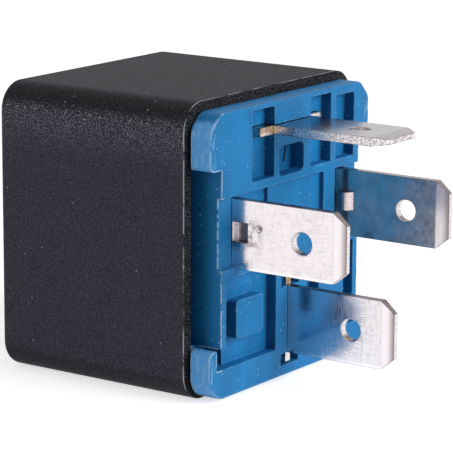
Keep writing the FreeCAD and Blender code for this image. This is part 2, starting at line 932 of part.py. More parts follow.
def make_open_stop():
    """The bent strip behind the contact blade that it rests against when open."""
    arm_x = contact_blade_x - open_shift(contact_blade_top) - stop_gap
    back = arm_x - stop_thickness
    top = load_blade_z + blade_thickness / 2
    under = top - stop_thickness
    y_range = (stop_strip_y, stop_strip_y + stop_strip_width)
    seat_x = back_x + stop_seat_depth
    points = [
        (seat_x, top),
        (back, top),
        (back, stop_arm_low),
        (arm_x, stop_arm_low),
        (arm_x, under),
        (seat_x, under),
    ]
    radii = [0, bend_radius + stop_thickness / 2, 0, 0, bend_radius / 2, 0]
    strip = bent_strip(points, radii, y_range)
    arm_y = (-stop_arm_reach, y_range[0] + part_fit)
    arm = slab((back, arm_x), arm_y, (stop_arm_low, under))
    return strip.fuse(arm).removeSplitter()


# Return spring

def spring_start_x():
    """Return where the close turns of the spring begin."""
    return hinge_x + spring_start_from_tail


def spring_lug_x():
    """Return where the yoke's lug for the spring begins."""
    return spring_start_x() + spring_turns * spring_pitch + spring_bend + lug_from_spring


def spring_turn_edges():
    """Return the half turns of the spring. Each is flat and leads smoothly into the next."""
    edges = []
    for index in range(2 * spring_turns):
        side = -1 if index % 2 == 0 else 1
        x = spring_start_x() + index * spring_pitch / 2
        next_x = x + spring_pitch / 2
        start = V(x, side * spring_coil_radius, spring_axis_z)
        end = V(next_x, -side * spring_coil_radius, spring_axis_z)
        radius = start.distanceToPoint(end) / 2
        middle = V((x + next_x) / 2, 0, spring_axis_z - side * radius)
        edges.append(Part.Arc(start, middle, end).toShape())
    return edges


def make_return_spring():
    """The tension spring under the yoke, hooked through the armature's tail and the lug."""
    y = -spring_coil_radius
    low_z = spring_axis_z - spring_bend
    high_z = spring_axis_z + spring_bend
    bend = spring_hook_bend
    first_x = spring_start_x()
    last_x = first_x + spring_turns * spring_pitch
    tail_x = armature_outer_x - open_shift(low_z) - part_fit - 2 * spring_wire_radius
    hook_x = tail_x
    far_x = spring_lug_x() + lug_thickness + part_fit + 2 * spring_wire_radius
    start = V(hook_x, y + spring_leg, low_z)
    edges = [
        line(start, V(hook_x, y + bend, low_z)),
        quarter(V(hook_x, y + bend, low_z), V(hook_x + bend, y, low_z), V(hook_x + bend, y + bend, low_z)),
        line(V(hook_x + bend, y, low_z), V(first_x - spring_bend, y, low_z)),
        quarter(
            V(first_x - spring_bend, y, low_z),
            V(first_x, y, spring_axis_z),
            V(first_x - spring_bend, y, spring_axis_z),
        ),
    ]
    edges += spring_turn_edges()
    edges += [
        quarter(
            V(last_x, y, spring_axis_z),
            V(last_x + spring_bend, y, high_z),
            V(last_x + spring_bend, y, spring_axis_z),
        ),
        line(V(last_x + spring_bend, y, high_z), V(far_x - bend, y, high_z)),
        quarter(V(far_x - bend, y, high_z), V(far_x, y + bend, high_z), V(far_x - bend, y + bend, high_z)),
        line(V(far_x, y + bend, high_z), V(far_x, y + spring_leg, high_z)),
    ]
    return tube(edges, start, V(0, -1, 0), spring_wire_radius)


# Braid

def make_braid():
    """The flexible braid from the common terminal's tab to the foot of the contact blade."""
    start = V(tab_back_x - part_fit, braid_y, braid_z)
    end_x = contact_blade_x - open_shift(braid_z) - braid_gap - braid_radius
    bend_start = V(end_x + braid_bend, braid_y, braid_z)
    bend_end = V(end_x, braid_y - braid_bend, braid_z)
    centre = V(end_x + braid_bend, braid_y - braid_bend, braid_z)
    edges = [
        line(start, bend_start),
        quarter(bend_start, bend_end, centre),
        line(bend_end, V(end_x, braid_end_y, braid_z)),
    ]
    return tube(edges, start, V(-1, 0, 0), braid_radius)


# Export

def write_parts():
    """Make every piece and write it to its own file."""
    pieces = {
        "cover": make_cover(),
        "base": make_base(),
        "terminal_30": make_common_terminal(),
        "terminal_85": make_coil_terminal(-1),
        "terminal_86": make_coil_terminal(1),
        "terminal_87": make_load_terminal(),
        "coil_bobbin": make_bobbin(),
        "coil_winding": make_winding(),
        "coil_tape": make_tape(),
        "coil_core": make_core(),
        "coil_lead_85": make_lead(-1),
        "coil_lead_86": make_lead(1),
        "yoke": make_yoke(),
        "armature": make_armature(),
        "contact_blade": make_contact_blade(),
        "contact_blade_rivets": make_blade_rivets(),
        "moving_contact": make_moving_contact(),
        "fixed_contact": make_fixed_contact(),
        "open_stop": make_open_stop(),
        "return_spring": make_return_spring(),
        "contact_braid": make_braid(),
    }
    os.makedirs("parts", exist_ok=True)
    for name, shape in pieces.items():
        shape.exportStep(os.path.join("parts", name + ".step"))


write_parts()
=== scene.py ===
import math
from typing import NamedTuple

import bpy
from mathutils import Matrix, Vector


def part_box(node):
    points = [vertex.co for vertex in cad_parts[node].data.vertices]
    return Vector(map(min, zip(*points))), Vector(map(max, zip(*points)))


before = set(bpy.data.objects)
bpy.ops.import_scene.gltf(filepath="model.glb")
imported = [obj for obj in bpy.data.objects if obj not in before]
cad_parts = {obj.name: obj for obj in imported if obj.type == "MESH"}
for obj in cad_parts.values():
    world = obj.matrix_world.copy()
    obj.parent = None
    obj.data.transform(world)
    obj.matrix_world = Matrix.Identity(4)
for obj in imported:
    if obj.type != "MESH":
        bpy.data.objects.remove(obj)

bl_info = {
    "name": "Automotive relay finish",
    "version": (1, 0, 0),
    "blender": (4, 5, 0),
    "location": "View3D > Sidebar > Relay",
    "description": "Finishes a four-blade plug-in relay and sets it in a pale studio",
    "category": "Object",
}

MM = 0.001
X, Y, Z = range(3)
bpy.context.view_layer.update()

# Keeps the floor out of the plane of the cover's underside
FLOOR_DROP = 0.00002


# Places and sizes on the relay, in millimetres

COVER_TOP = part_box("cover")[1].z / MM
RIM_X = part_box("cover")[1].x / MM
FACE_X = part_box("base")[1].x / MM
BASE_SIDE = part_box("base")[1].y / MM
SIDE_RECESS = 1.7
BLADE_HALF_WIDTH = 3.15
BLADE_BEVEL = 1.33

# The blades' lugs and shoulders end before the first of these in X, their lances before the other
ROOT_END = FACE_X + 0.71
LANCE_END = FACE_X + 1.51


class Blade(NamedTuple):
    """What sets a blade that stands on edge apart from the others."""

    centre: float
    dull: float
    lance_darkening: float


# The Y of each blade's middle plane, how dull its inner face is, and how dark the patches round
# its lance are
UPRIGHT_BLADES = {
    "terminal_30": Blade(centre=-0.2, dull=0.0, lance_darkening=0.0),
    "terminal_85": Blade(centre=-8.67, dull=0.0, lance_darkening=0.8),
    "terminal_86": Blade(centre=8.67, dull=0.45, lance_darkening=0.3),
}


# Tints of wear, tarnish and bare metal on the blades, of dark patches round the lance, and of a
# painted highlight

OUTLINE = (0.07, 0.055, 0.05)
BRIGHT_TIN_AND_HIGHLIGHT = (0.97, 0.95, 0.96)
TARNISH = (0.78, 0.6, 0.5)
LANCE_DARK_PATCH = (0.24, 0.2, 0.19)
DARK_BURR = (0.2, 0.17, 0.16)
LUG_GOLD = (0.36, 0.23, 0.1)
SHOULDER_GOLD = (0.55, 0.38, 0.17)


# Settings

class RelayFinishSettings(bpy.types.PropertyGroup):
    """Colours of the relay's pieces."""

    cover_colour: bpy.props.FloatVectorProperty(
        name="Cover",
        description="Colour of the black moulded cover",
        subtype="COLOR",
        default=(0.056, 0.055, 0.075),
    )
    # Also the colour of the painted sheen of sparkles below the cover's crest
    cover_speck_and_sheen_colour: bpy.props.FloatVectorProperty(
        name="Cover specks",
        description="Colour of the fine dust on the cover",
        subtype="COLOR",
        default=(0.5, 0.5, 0.56),
    )
    base_colour: bpy.props.FloatVectorProperty(
        name="Base",
        description="Colour of the blue moulded base",
        subtype="COLOR",
        default=(0.011, 0.22, 0.53),
    )
    # Painted light: a lighter copy of the base's blue for its outer sides
    base_side_light_colour: bpy.props.FloatVectorProperty(
        name="Base sides",
        description="Colour of the base's lighter outer sides",
        subtype="COLOR",
        default=(0.13, 0.47, 0.98),
    )
    # Lighter edges: partly wear, partly a painted highlight along them
    base_rubbed_and_highlight_colour: bpy.props.FloatVectorProperty(
        name="Base edges",
        description="Colour of the base's rubbed edges",
        subtype="COLOR",
        default=(0.5, 0.72, 0.92),
    )
    base_scuff_colour: bpy.props.FloatVectorProperty(
        name="Base scuffs",
        description="Colour of the scuffs and specks on the base",
        subtype="COLOR",
        default=(0.36, 0.64, 0.9),
    )
    tin_colour: bpy.props.FloatVectorProperty(
        name="Tin",
        description="Colour of the tin plating on the blades",
        subtype="COLOR",
        default=(0.87, 0.81, 0.83),
    )
    sheared_colour: bpy.props.FloatVectorProperty(
        name="Sheared edge",
        description="Colour of the bare sheared edges of the blades",
        subtype="COLOR",
        default=(0.24, 0.16, 0.12),
    )
    copper_colour: bpy.props.FloatVectorProperty(
        name="Copper",
        description="Colour of bare copper",
        subtype="COLOR",
        default=(0.72, 0.32, 0.17),
    )
    iron_colour: bpy.props.FloatVectorProperty(
        name="Plated iron",
        description="Colour of the zinc-plated magnet iron",
        subtype="COLOR",
        default=(0.52, 0.52, 0.49),
    )


class RelayStageSettings(bpy.types.PropertyGroup):
    """Camera, floor and lamps."""

    camera_target: bpy.props.FloatVectorProperty(
        name="Camera target",
        description="Point in the middle of the picture",
        subtype="TRANSLATION",
        unit="LENGTH",
        default=(0.0072, -0.00228, 0.01375),
    )
    camera_distance: bpy.props.FloatProperty(
        name="Camera distance",
        description="Distance from the camera to its target",
        unit="LENGTH",
        default=0.2324,
    )
    camera_azimuth: bpy.props.FloatProperty(
        name="Camera azimuth",
        description="How far the camera stands round to the right of the cover's long side",
        subtype="ANGLE",
        default=math.radians(35.02),
    )
    camera_elevation: bpy.props.FloatProperty(
        name="Camera elevation",
        description="How far the camera looks down",
        subtype="ANGLE",
        default=math.radians(12.34),
    )
    camera_roll: bpy.props.FloatProperty(
        name="Camera roll",
        description="Turn of the picture about its middle",
        subtype="ANGLE",
        default=math.radians(0.31),
    )
    camera_lens: bpy.props.FloatProperty(
        name="Camera lens",
        description="Focal length in millimetres on a sensor 36 mm wide",
        default=201.6,
    )
    floor_size: bpy.props.FloatProperty(
        name="Floor size",
        description="Length of the floor's sides",
        unit="LENGTH",
        default=6.0,
    )
    floor_glow: bpy.props.FloatProperty(
        name="Floor glow",
        description="Strength of the white that the floor shows beyond the light on it",
        default=0.64,
    )
    room_light: bpy.props.FloatProperty(
        name="Room light",
        description="Strength of the even light from all round",
        default=0.2,
    )
    lamp_size: bpy.props.FloatProperty(
        name="Lamp size",
        description="Length of the sides of both square lamps",
        unit="LENGTH",
        default=0.4,
    )
    key_power: bpy.props.FloatProperty(
        name="Key lamp",
        description="Power of the lamp in front of the face with the blades",
        unit="POWER",
        default=3.35,
    )
    key_place: bpy.props.FloatVectorProperty(
        name="Key lamp's place",
        description="Place of the key lamp, from the camera's target",
        subtype="TRANSLATION",
        unit="LENGTH",
        default=(0.66, 0.12, 0.28),
    )
    side_power: bpy.props.FloatProperty(
        name="Side lamp",
        description="Power of the lamp on the cover's side that the camera sees",
        unit="POWER",
        default=0.75,
    )
    side_place: bpy.props.FloatVectorProperty(
        name="Side lamp's place",
        description="Place of the side lamp, from the camera's target",
        subtype="TRANSLATION",
        unit="LENGTH",
        default=(-0.3, -0.55, 0.35),
    )


# Shader sums

class Value:
    """A socket of a material, on which sums are written as in Python."""

    def __init__(self, finish, socket):
        self.finish = finish
        self.socket = socket

    def sum(self, operation, first, second=0.0):
        """Add a Math node."""
        settings = {"operation": operation}
        return self.finish.node("ShaderNodeMath", settings, {0: first, 1: second})

    def __add__(self, other):
        return self.sum("ADD", self, other)

    def __radd__(self, other):
        return self.sum("ADD", other, self)

    def __sub__(self, other):
        return self.sum("SUBTRACT", self, other)

    def __rsub__(self, other):
        return self.sum("SUBTRACT", other, self)

    def __mul__(self, other):
        return self.sum("MULTIPLY", self, other)

    def __rmul__(self, other):
        return self.sum("MULTIPLY", other, self)

    def __abs__(self):
        return self.sum("ABSOLUTE", self)

    def sine(self):
        """Return the sine of an angle in radians."""
        return self.sum("SINE", self)

    def highest(self, other):
        """Return the larger of the two."""
        return self.sum("MAXIMUM", self, other)

    def rise(self, low, high):
        """Return 0 below low, 1 above high, and a smooth rise between them."""
        settings = {"interpolation_type": "SMOOTHSTEP"}
        inputs = {"Value": self, "From Min": low, "From Max": high}
        return self.finish.node("ShaderNodeMapRange", settings, inputs)

    def fall(self, low, high):
        """Return 1 below low, 0 above high, and a smooth fall between them."""
        return 1 - self.rise(low, high)


class Finish:
    """A material in the making, on Object coordinates in millimetres."""

    def __init__(self, name):
        self.material = bpy.data.materials.new(name)
        self.material.use_nodes = True
        self.tree = self.material.node_tree
        self.tree.nodes.clear()
        coordinates = self.node("ShaderNodeTexCoord", {}, {}, "Object")
        self.place = self.vector("SCALE", {0: coordinates, "Scale": 1 / MM})
        self.x, self.y, self.z = self.parts(self.place)
        self.true_normal = self.node("ShaderNodeNewGeometry", {}, {}, "True Normal")
        self.normal = self.parts(self.true_normal)

    def node(self, kind, settings, inputs, output=0):
        """Add any node, with its settings first and then its sockets' values or links."""
        made = self.tree.nodes.new(kind)
        for name, value in settings.items():
            setattr(made, name, value)
        for name, value in inputs.items():
            if isinstance(value, Value):
                self.tree.links.new(value.socket, made.inputs[name])
            else:
                made.inputs[name].default_value = value
        return Value(self, made.outputs[output])

    def vector(self, operation, inputs, output=0):
        """Add a Vector Math node."""
        return self.node("ShaderNodeVectorMath", {"operation": operation}, inputs, output)

    def parts(self, vector):
        """Return the X, Y and Z of a vector."""
        split = self.node("ShaderNodeSeparateXYZ", {}, {0: vector})
        return [Value(self, socket) for socket in split.socket.node.outputs]

    def noise(self, scale, detail=2.0, stretch=(1.0, 1.0, 1.0), roughness=0.5):
        """Return soft noise with scale times stretch lumps to the millimetre."""
        place = self.vector("MULTIPLY", {0: self.place, 1: stretch})
        inputs = {"Vector": place, "Scale": scale, "Detail": detail, "Roughness": roughness}
        return self.node("ShaderNodeTexNoise", {}, inputs)

    def cells(self, scale):
        """Return the distance to the nearest of scattered points."""
        return self.node("ShaderNodeTexVoronoi", {}, {"Vector": self.place, "Scale": scale})

    def mix(self, factor, first, second):
        """Blend two colours."""
        inputs = {0: factor, 6: as_colour(first), 7: as_colour(second)}
        return self.node("ShaderNodeMix", {"data_type": "RGBA"}, inputs, 2)

    def coats(self, colour, masked):
        """Lay coats over a colour in turn, each a mask and the colour that it lets on."""
        for mask, coat in masked:
            colour = self.mix(mask, colour, coat)
        return colour

    def round_normal(self, radius):
        """Return the normal as if the edges had that radius in millimetres."""
        return self.node("ShaderNodeBevel", {"samples": 6}, {"Radius": radius * MM})

    def edges(self, radius):
        """Return 0 on flat faces and more towards edges, within that many millimetres."""
        inputs = {0: self.round_normal(radius), 1: self.true_normal}
        return 1 - self.vector("DOT_PRODUCT", inputs, "Value")

    def bump(self, height, depth, normal=None):
        """Return the normal of a surface with that relief, its depth in millimetres."""
        inputs = {"Height": height, "Distance": depth * MM, "Strength": 1.0}
        if normal is not None:
            inputs["Normal"] = normal
        return self.node("ShaderNodeBump", {}, inputs)

    def surface(self, **sockets):
        """Close the material with a Principled shader."""
        inputs = {name.replace("_", " "): value for name, value in sockets.items()}
        shader = self.node("ShaderNodeBsdfPrincipled", {}, inputs)
        output = self.tree.nodes.new("ShaderNodeOutputMaterial")
        self.tree.links.new(shader.socket, output.inputs["Surface"])
        return self.material


def as_colour(value):
    """Return a colour with its alpha, or a link as it is."""
    if isinstance(value, Value):
        return value
    return (value[0], value[1], value[2], 1.0)


def shade(colour, factor):
    """Return the colour made darker or lighter."""
    return tuple(min(channel * factor, 1.0) for channel in colour)


def give(node, material):
    """Assign the material to a CAD node's slots."""
    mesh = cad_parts[node].data
    mesh.materials.clear()
    mesh.materials.append(material)


# The cover

def cover_plastic(settings):
    """Black plastic with a sparkling grain and a painted sheen below its crest, painted shade on
    its top, rounded edges and crest, and a darker rim.
    """
    finish = Finish("black_grained_plastic")
    black = settings.cover_colour
    grain = finish.noise(8.0)
    clouds = finish.noise(0.5, 3.0)
    texture = grain.rise(0.3, 0.7) * 0.7 + clouds * 0.15
    ground = finish.mix(texture, shade(black, 0.2), shade(black, 1.9))
    sparks = finish.noise(9.0, 0.0).rise(0.58, 0.68)
    coats = cover_painted_shade(finish, black)
    coats += cover_specks_and_sheen(finish, settings.cover_speck_and_sheen_colour, sparks)
    coats += cover_rim(finish, settings, sparks)
    return finish.surface(
        Base_Color=finish.coats(ground, coats),
        Roughness=0.46 + grain * 0.3,
        Normal=finish.bump(grain, 0.035, finish.round_normal(0.1)),
        Specular_IOR_Level=0.09,
    )


def cover_painted_shade(finish, black):
    """Return the coats of painted shade that darken the top, the rounded edges and the long
    crest.
    """
    upward = finish.normal[Z]
    rounded = (abs(finish.normal[Y]) * abs(upward)).rise(0.08, 0.3)
    crest = upward.rise(0.3, 0.6) * upward.fall(0.88, 0.98)
    # Painted shade: the top, the rounded edges and the crest are made darker
    return [
        (upward.rise(0.8, 0.98) * 0.8, shade(black, 0.2)),
        (rounded * 0.6, shade(black, 0.25)),
        (crest * 0.8, shade(black, 0.1)),
    ]


def cover_specks_and_sheen(finish, dust_and_sheen, sparks):
    """Return the coats of sparkling grain, thicker below the crest as a painted sheen, and of
    scattered specks.
    """
    below_crest = finish.z.rise(COVER_TOP - 6.5, COVER_TOP - 2.2)
    painted_sheen = below_crest * finish.normal[Z].fall(0.25, 0.5)
    specks = finish.cells(0.85).fall(0.035, 0.085) * finish.noise(0.35, 1.0).rise(0.42, 0.56)
    # Sparkles of the grain, thickened below the crest into a painted sheen, then the specks
    return [
        (sparks * (painted_sheen * 0.55 + 0.1), dust_and_sheen),
        (specks * 0.9, dust_and_sheen),
    ]


def cover_rim(finish, settings, sparks):
    """Return the coats of the dark rim and of the broken light line along it."""
    dust_and_sheen = settings.cover_speck_and_sheen_colour
    rim = finish.normal[X].rise(0.5, 0.8)
    rim_colour = finish.mix(sparks * 0.26, shade(settings.cover_colour, 0.04), dust_and_sheen)
    beside_rim = finish.x.rise(RIM_X - 0.16, RIM_X - 0.09) * (1 - rim)
    broken = finish.noise(0.7, 3.0).rise(0.42, 0.54)
    return [
        (rim, rim_colour),
        (beside_rim * broken, shade(dust_and_sheen, 1.2)),
    ]


# The base

def base_plastic(settings):
    """Mid-blue plastic, with painted shade darkening its pockets, painted light lightening its
    outer sides, and rubbed along its sides.
    """
    finish = Finish("blue_moulded_plastic")
    blue = settings.base_colour
    flow = finish.noise(0.28, 3.0, (1.0, 1.6, 0.6))
    grain = finish.noise(7.0)
    texture = flow.rise(0.3, 0.7) * 0.5 + grain.rise(0.3, 0.7) * 0.5
    ground = finish.mix(texture, shade(blue, 0.74), shade(blue, 1.16))
    recess = BASE_SIDE - SIDE_RECESS
    margin = abs(finish.y).rise(recess - 0.5, recess - 0.2)
    outer = abs(finish.y).rise(BASE_SIDE - 1.0, BASE_SIDE - 0.5)
    coats = base_painted_light_and_shade(finish, settings, margin, outer)
    coats += base_wear(finish, settings, margin, outer)
    return finish.surface(
        Base_Color=finish.coats(ground, coats),
        Roughness=0.42 + flow * 0.16,
        Normal=finish.bump(grain, 0.004, finish.round_normal(0.12)),
        Specular_IOR_Level=0.22,
    )


def base_painted_light_and_shade(finish, settings, margin, outer):
    """Return the coats of painted shade on the dark pocket walls and the dark side recess, and of
    painted light on the light sides.
    """
    blue = settings.base_colour
    wall = abs(finish.normal[Y]).rise(0.6, 0.9)
    near_cover = finish.x.fall(RIM_X + 0.15, FACE_X - 0.49)
    side = abs(finish.normal[X]).fall(0.6, 0.9)
    # Painted shade on the pocket walls and on the side recess's walls near the cover, then
    # painted light on the outer sides
    return [
        (wall * (1 - margin) * 0.75, shade(blue, 0.25)),
        (wall * (margin - outer) * near_cover * 0.6, shade(blue, 0.2)),
        (outer * side, settings.base_side_light_colour),
    ]


def base_wear(finish, settings, margin, outer):
    """Return the coats of scratches, rubbed edges partly lightened as a painted highlight, scuffs
    and specks.
    """
    pale = settings.base_scuff_colour
    scratches = outer * finish.noise(1.0, 3.0, (3.0, 5.0, 0.8)).rise(0.54, 0.62)
    edges = finish.edges(0.24).rise(0.004, 0.035) * (margin * 0.85 + 0.12)
    rubbed = edges * finish.noise(1.6, 3.0).rise(0.4, 0.52)
    scuffs = finish.noise(2.4, 4.0, (1.0, 0.5, 1.8)).rise(0.64, 0.72)
    scuffs = scuffs * finish.noise(0.3, 1.0).rise(0.48, 0.64)
    specks = finish.cells(1.25).fall(0.05, 0.105) * finish.noise(0.5, 1.0).rise(0.38, 0.52)
    return [
        (scratches * 0.5, pale),
        # Rubbed edges, lighter from wear and from a painted highlight
        (rubbed, settings.base_rubbed_and_highlight_colour),
        (scuffs * 0.4, pale),
        (specks * 0.75, shade(pale, 1.2)),
    ]


# The blades

class SheetFinish(Finish):
    """A tin-plated sheet in the making, with brushed faces and bare sheared edges."""

    def __init__(self, name, through):
        super().__init__("tinned_sheet_" + name)
        along = self.noise(1.0, 3.0, (0.8, 12.0, 12.0)).rise(0.46, 0.72)
        cross = self.noise(1.0, 3.0, (12.0, 1.0, 1.0)).rise(0.46, 0.72)
        self.brushing = along.highest(cross)
        self.patches = self.noise(0.45, 3.0).rise(0.35, 0.7)
        self.burr = self.noise(5.0, 3.0, (1.0, 0.25, 1.0)).rise(0.4, 0.62)
        self.face = abs(self.normal[through]).rise(0.5, 0.85)
        self.upper = self.normal[Z].rise(0.5, 0.8)
        root = self.x.fall(ROOT_END - 0.2, ROOT_END + 0.2)
        self.root_front = abs(self.normal[X]).rise(0.5, 0.8) * root

    def sheet(self, plated, bare, metallic=1.0):
        """Join the faces' and the edges' colours, outline them and close the material."""
        outline = self.edges(0.13).rise(0.008, 0.06) * 0.75
        relief = self.brushing * 0.4 + self.patches * 0.3
        return self.surface(
            Base_Color=self.coats(bare, [(self.face, plated), (outline, OUTLINE)]),
            Metallic=metallic,
            Roughness=0.13 + self.brushing * 0.12 + (1 - self.face) * 0.12,
            Normal=self.bump(relief, 0.003, self.round_normal(0.05)),
        )


def upright_sheet(settings, name, blade):
    """Blade on edge: a painted highlight along its lower edge, pressed in at its lance with
    painted shade on the pressed floor, and worn in its own way.
    """
    finish = SheetFinish(name, Y)
    low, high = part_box(name)
    tip = high.x / MM
    middle = (low.z + high.z) / 2 / MM
    under = middle - BLADE_HALF_WIDTH
    bevel = finish.x.rise(tip - BLADE_BEVEL - 0.03, tip - BLADE_BEVEL + 0.03)
    pressed = abs(finish.y - blade.centre).fall(0.22, 0.34)
    metallic = 1 - pressed * finish.face * 0.75
    coats = [
        # Painted highlight: a bright strip along the lower edge of the faces
        (finish.z.fall(under + 0.18, under + 0.3) * 0.8, BRIGHT_TIN_AND_HIGHLIGHT),
        # Painted shade: the lance's pressed floor darker and browner
        (pressed * 0.8, shade(settings.sheared_colour, 0.9)),
    ]
    if blade.lance_darkening:
        coats += lance_dark_patches(finish, middle, blade.lance_darkening)
    if blade.dull:
        haze = finish.x.rise(tip - 8.0, tip - 1.0) * 0.6 + finish.patches * 0.4
        metallic = metallic * (1 - haze * blade.dull)
        coats += inner_wear(finish, settings, tip, bevel, blade.dull)
    plated = finish.coats(brushed_tin_and_painted_light(finish, settings, tip, bevel), coats)
    return finish.sheet(plated, upright_edges(finish, settings, middle), metallic)


def brushed_tin_and_painted_light(finish, settings, tip, bevel):
    """Return tin with brush marks, fewer on the bevelled tip so that it shows lighter as a
    painted reflection, and a dark painted shade in the crease before it.
    """
    crease = bevel * finish.x.fall(tip - BLADE_BEVEL + 0.05, tip - BLADE_BEVEL + 0.12)
    marks = finish.brushing * 0.75 + finish.patches * 0.15
    # Painted reflection: the bevel lighter; painted shade: the crease darker
    wear = marks * (1 - bevel * 0.75) + crease * 0.6
    return finish.mix(wear, settings.tin_colour, shade(settings.tin_colour, 0.68))


def lance_dark_patches(finish, middle, strength):
    """Return the coat of dark patches round the lance."""
    beyond = finish.x.fall(LANCE_END, LANCE_END + 2.0)
    beside = abs(finish.z - middle).fall(0.7, 1.9)
    dark_patches = beyond * beside * finish.noise(1.6, 3.0).rise(0.36, 0.56)
    return [(dark_patches * strength, LANCE_DARK_PATCH)]


def inner_wear(finish, settings, tip, bevel, strength):
    """Return the coats of tarnish, clouds and rubbed tin on a blade's inner face."""
    inner = finish.normal[Y].fall(-0.9, -0.5) * (1 - bevel)
    clouds = finish.noise(0.8, 5.0, roughness=0.65).rise(0.42, 0.62)
    rubbed = finish.noise(1.8, 5.0, roughness=0.7).rise(0.5, 0.68)
    rubbed = rubbed * finish.x.rise(tip - 8.0, tip - 2.0)
    return [
        (inner * (strength * 1.6), TARNISH),
        (inner * clouds * strength, shade(settings.tin_colour, 0.45)),
        (inner * rubbed * (strength * 1.6), BRIGHT_TIN_AND_HIGHLIGHT),
    ]


def upright_edges(finish, settings, middle):
    """Return bare metal, dark on upper edges, with a gold-brown front to the upper lug."""
    top = middle + BLADE_HALF_WIDTH
    ground = finish.mix(finish.burr * 0.2 + 0.72, settings.sheared_colour, settings.tin_colour)
    lug = finish.root_front * finish.z.rise(top - 1.2, top - 0.8)
    coats = [
        (finish.upper * 0.75, shade(settings.sheared_colour, 0.4)),
        (lug * finish.noise(1.8, 1.0).rise(0.35, 0.5), LUG_GOLD),
    ]
    return finish.coats(ground, coats)


def flat_sheet(settings, name):
    """Blade lying flat, with painted shade darkening its upper face, and a gold-brown near
    shoulder.
    """
    finish = SheetFinish(name, Z)
    tin = settings.tin_colour
    wear = finish.brushing * 0.65 + finish.patches * 0.15
    plated = finish.mix(wear, tin, shade(tin, 0.72))
    # Painted shade: the upper face darker
    plated = finish.mix(finish.upper, plated, shade(tin, 0.36))
    shoulder = finish.root_front * finish.y.fall(-1.0, 1.0)
    shoulder = shoulder * finish.noise(1.4, 1.0).rise(0.38, 0.5)
    bare = finish.mix(finish.burr * 0.55 + 0.38, DARK_BURR, tin)
    bare = finish.mix(shoulder * 0.85, bare, SHOULDER_GOLD)
    return finish.sheet(plated, bare)


# The pieces inside

def plated_iron(settings):
    """Zinc-plated soft iron with a dull, slightly mottled face."""
    finish = Finish("zinc_plated_iron")
    iron = settings.iron_colour
    mottle = finish.noise(1.4, 4.0)
    return finish.surface(
        Base_Color=finish.mix(mottle, shade(iron, 0.8), shade(iron, 1.15)),
        Metallic=0.95,
        Roughness=0.32 + mottle * 0.2,
        Normal=finish.bump(finish.noise(6.0, 3.0), 0.006, finish.round_normal(0.08)),
    )


def copper_strip(settings):
    """Rolled copper alloy with fine lines along it."""
    finish = Finish("rolled_copper_alloy")
    copper = settings.copper_colour
    lines = finish.noise(1.0, 3.0, (6.0, 6.0, 0.5))
    return finish.surface(
        Base_Color=finish.mix(lines, shade(copper, 0.8), shade(copper, 1.1)),
        Metallic=1.0,
        Roughness=0.26 + lines * 0.18,
        Normal=finish.bump(lines, 0.004, finish.round_normal(0.05)),
    )


def wound_wire(settings, name, pitch, tilt):
    """Copper wire in close turns of that pitch, leaning by tilt, with painted shade in the
    grooves between turns.
    """
    finish = Finish(name)
    copper = settings.copper_colour
    turns = (finish.x + finish.z * tilt + finish.y * tilt) * (2 * math.pi / pitch)
    wave = turns.sine() * 0.5 + 0.5
    patches = finish.noise(0.8)
    crown = finish.mix(patches, copper, shade(copper, 0.8))
    return finish.surface(
        # Painted shade: dark in the grooves between turns
        Base_Color=finish.mix(wave.rise(0.0, 0.5), shade(copper, 0.3), crown),
        Metallic=0.85,
        Roughness=0.28 + patches * 0.14,
        Normal=finish.bump(wave, pitch / 4),
    )


def natural_plastic():
    """Cream moulded plastic of the bobbin."""
    finish = Finish("cream_moulded_plastic")
    flow = finish.noise(0.5, 3.0)
    return finish.surface(
        Base_Color=finish.mix(flow, (0.56, 0.52, 0.42), (0.68, 0.65, 0.56)),
        Roughness=0.4 + flow * 0.15,
        Normal=finish.bump(finish.noise(7.0), 0.004, finish.round_normal(0.1)),
    )


def amber_film():
    """Amber polyester film, a little uneven over the winding."""
    finish = Finish("amber_film")
    folds = finish.noise(0.9, 2.0, (3.0, 0.6, 0.6))
    return finish.surface(
        Base_Color=finish.mix(folds, (0.5, 0.3, 0.04), (0.68, 0.45, 0.09)),
        Roughness=0.16 + folds * 0.12,
        Normal=finish.bump(folds, 0.03),
    )


def silver_alloy():
    """Silver-alloy contact, a little matt where it touches."""
    finish = Finish("silver_alloy")
    wear = finish.noise(2.5, 4.0)
    return finish.surface(
        Base_Color=finish.mix(wear, (0.72, 0.7, 0.66), (0.88, 0.87, 0.84)),
        Metallic=1.0,
        Roughness=0.2 + wear * 0.25,
        Normal=finish.bump(wear, 0.006),
    )


def spring_steel():
    """Drawn spring wire with fine draw marks."""
    finish = Finish("spring_steel")
    marks = finish.noise(1.0, 3.0, (8.0, 2.0, 2.0))
    return finish.surface(
        Base_Color=finish.mix(marks, (0.3, 0.3, 0.31), (0.5, 0.5, 0.5)),
        Metallic=1.0,
        Roughness=0.2 + marks * 0.2,
    )


def brass(name):
    """Yellow brass with a light tarnish."""
    finish = Finish(name)
    tarnish = finish.noise(1.6, 4.0)
    return finish.surface(
        Base_Color=finish.mix(tarnish, (0.42, 0.28, 0.1), (0.7, 0.52, 0.2)),
        Metallic=1.0,
        Roughness=0.22 + tarnish * 0.22,
    )


class RELAY_OT_housing(bpy.types.Operator):
    """Finish the cover and the base."""

    bl_idname = "relay.housing"
    bl_label = "Cover and base"

    def execute(self, context):
        settings = context.scene.relay_finish
        give("cover", cover_plastic(settings))
        give("base", base_plastic(settings))
        return {"FINISHED"}


class RELAY_OT_terminals(bpy.types.Operator):
    """Finish the four blade terminals."""

    bl_idname = "relay.terminals"
    bl_label = "Blade terminals"

    def execute(self, context):
        settings = context.scene.relay_finish
        for node, blade in UPRIGHT_BLADES.items():
            give(node, upright_sheet(settings, node, blade))
        give("terminal_87", flat_sheet(settings, "terminal_87"))
        return {"FINISHED"}


